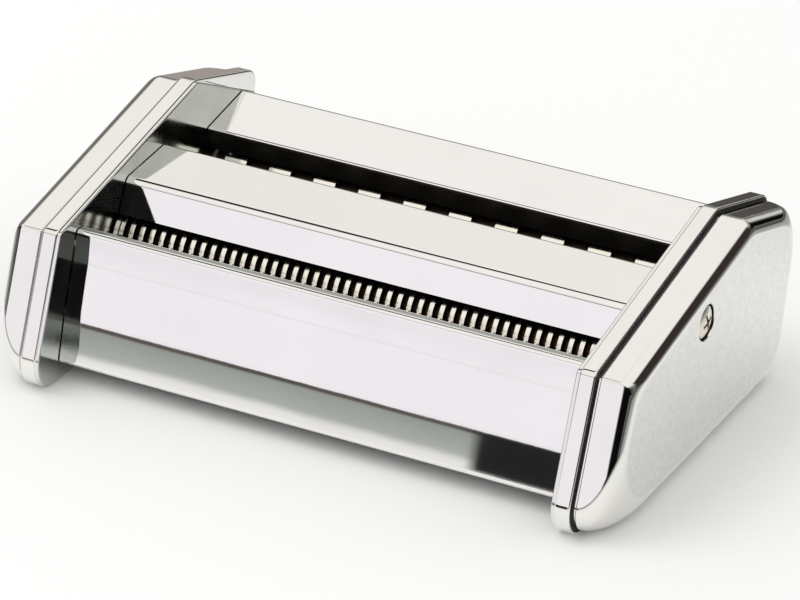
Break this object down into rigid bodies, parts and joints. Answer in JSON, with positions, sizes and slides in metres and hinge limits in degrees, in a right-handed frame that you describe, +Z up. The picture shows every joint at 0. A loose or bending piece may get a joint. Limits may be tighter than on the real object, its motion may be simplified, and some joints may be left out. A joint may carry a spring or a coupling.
{
  "type": "pasta cutter attachment",
  "caption": "Twin cutter head of a hand-cranked pasta machine, with a narrow and a wide pair of geared cutting rollers.",
  "frame": {"origin": "middle of the bounding box at the table, under the two end rims", "axes": "+X along the rollers to the end without crank sockets, +Y from the low front to the high back, +Z up"},
  "size_m": [0.1798, 0.1175, 0.0565],
  "materials": {
    "chrome": "mirror chrome plate on pressed sheet and castings",
    "plate_steel": "bright rolled steel sheet",
    "roller_chrome": "turned and chrome plated",
    "comb_steel": "plain spring steel strip",
    "zinc_steel": "bright zinc plate",
    "gear_steel": "sintered steel, lightly oiled",
    "spring_steel": "blackened spring steel",
    "nylon": "natural nylon"
  },
  "bodies": {
    "frame": {"left_rim": "chrome", "right_rim": "chrome", "left_side_plate": "plate_steel", "right_side_plate": "plate_steel", "left_end_cap": "chrome", "right_end_cap": "chrome", "front_cover": "chrome", "centre_cover": "chrome", "rear_cover": "chrome", "front_tie_rod": "zinc_steel", "centre_tie_rod": "zinc_steel", "rear_tie_rod": "zinc_steel", "tie_rod_nuts": "zinc_steel", "left_cap_post": "zinc_steel", "right_cap_post": "zinc_steel", "cap_screws": "zinc_steel", "narrow_front_comb": "comb_steel", "narrow_rear_comb": "comb_steel", "wide_front_comb": "comb_steel", "wide_rear_comb": "comb_steel", "plain_bushes": "nylon", "drive_bushes": "nylon"},
    "narrow_rear": {"narrow_rear_roller": "roller_chrome", "narrow_rear_gear": "gear_steel", "narrow_rear_clips": "spring_steel"},
    "narrow_front": {"narrow_front_roller": "roller_chrome", "narrow_front_gear": "gear_steel", "narrow_front_clips": "spring_steel"},
    "wide_rear": {"wide_rear_roller": "roller_chrome", "wide_rear_gear": "gear_steel", "wide_rear_clips": "spring_steel"},
    "wide_front": {"wide_front_roller": "roller_chrome", "wide_front_gear": "gear_steel", "wide_front_clips": "spring_steel"}
  },
  "joints": [
    {"name": "narrow_rear_spin", "type": "hinge", "parent": "frame", "child": "narrow_rear", "pos_m": [0, -0.00993, 0.026], "axis": [1, 0, 0], "continuous": true},
    {"name": "narrow_front_spin", "type": "hinge", "parent": "frame", "child": "narrow_front", "pos_m": [0, -0.02521, 0.02286], "axis": [1, 0, 0], "continuous": true},
    {"name": "wide_rear_spin", "type": "hinge", "parent": "frame", "child": "wide_rear", "pos_m": [0, 0.03862, 0.026], "axis": [1, 0, 0], "continuous": true},
    {"name": "wide_front_spin", "type": "hinge", "parent": "frame", "child": "wide_front", "pos_m": [0, 0.02334, 0.02286], "axis": [1, 0, 0], "continuous": true}
  ],
  "couplings": [
    {"joint": "narrow_front_spin", "follows": "narrow_rear_spin", "ratio": -1},
    {"joint": "wide_front_spin", "follows": "wide_rear_spin", "ratio": -1}
  ]
}
